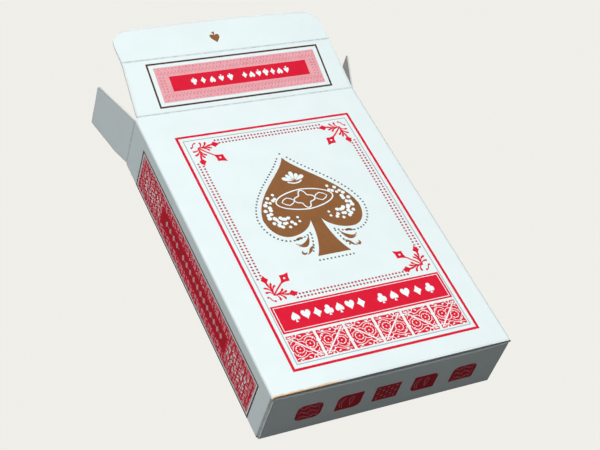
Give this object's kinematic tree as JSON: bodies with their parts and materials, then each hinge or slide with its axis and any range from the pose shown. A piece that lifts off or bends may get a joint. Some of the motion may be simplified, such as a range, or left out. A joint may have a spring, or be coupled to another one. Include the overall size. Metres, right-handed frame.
{
  "type": "card deck box",
  "caption": "Folding board carton for one deck of playing cards, with a hinged tuck lid, top and bottom dust flaps and a tucked bottom end.",
  "frame": {"origin": "centre of the back panel's outer face, which the carton lies on", "axes": "+X across the front panel to the right, +Y along the carton towards the lid, +Z out of the front panel"},
  "size_m": [0.076, 0.1185, 0.0229],
  "materials": {
    "printed_board": "satin",
    "inside_board": "matte",
    "crease_board": "matte",
    "red_ink": "satin",
    "bronze_ink": "satin",
    "glue": "satin"
  },
  "bodies": {
    "carton": {"front_panel": "printed_board", "back_panel": "printed_board", "left_side_panel": "printed_board", "right_side_panel": "printed_board", "front_left_crease": "crease_board", "front_right_crease": "crease_board", "back_left_crease": "crease_board", "seam_crease": "crease_board", "seam_flap": "inside_board", "seam_glue": "glue", "lid_crease": "crease_board", "left_dust_crease": "crease_board", "right_dust_crease": "crease_board", "bottom_crease": "crease_board", "bottom_panel": "printed_board", "bottom_tongue_crease": "crease_board", "bottom_tongue": "printed_board", "bottom_left_dust_crease": "crease_board", "bottom_right_dust_crease": "crease_board"},
    "lid": {"lid_panel": "printed_board", "tongue_crease": "crease_board"},
    "tongue": {"lid_tongue": "printed_board"},
    "left_dust": {"left_dust_flap": "inside_board"},
    "right_dust": {"right_dust_flap": "inside_board"},
    "bottom_left_dust": {"bottom_left_dust_flap": "inside_board"},
    "bottom_right_dust": {"bottom_right_dust_flap": "inside_board"}
  },
  "joints": [
    {"name": "lid_hinge", "type": "hinge", "parent": "carton", "child": "lid", "pos_m": [0, 0.0453, 0.0174], "axis": [-1, 0, 0], "range_deg": [-75, 105]},
    {"name": "tongue_fold", "type": "hinge", "parent": "lid", "child": "tongue", "pos_m": [0, 0.06143, 0.02172], "axis": [-1, 0, 0], "range_deg": [-70, 80]},
    {"name": "left_dust_hinge", "type": "hinge", "parent": "carton", "child": "left_dust", "pos_m": [-0.03255, 0.0448, 0.009], "axis": [0, 0, -1], "range_deg": [-60, 110]},
    {"name": "right_dust_hinge", "type": "hinge", "parent": "carton", "child": "right_dust", "pos_m": [0.03255, 0.0448, 0.009], "axis": [0, 0, 1], "range_deg": [-60, 110]},
    {"name": "bottom_left_dust_hinge", "type": "hinge", "parent": "carton", "child": "bottom_left_dust", "pos_m": [-0.03235, -0.0446, 0.009], "axis": [0, 0, 1], "range_deg": [0, 70]},
    {"name": "bottom_right_dust_hinge", "type": "hinge", "parent": "carton", "child": "bottom_right_dust", "pos_m": [0.03235, -0.0446, 0.009], "axis": [0, 0, -1], "range_deg": [0, 70]}
  ]
}
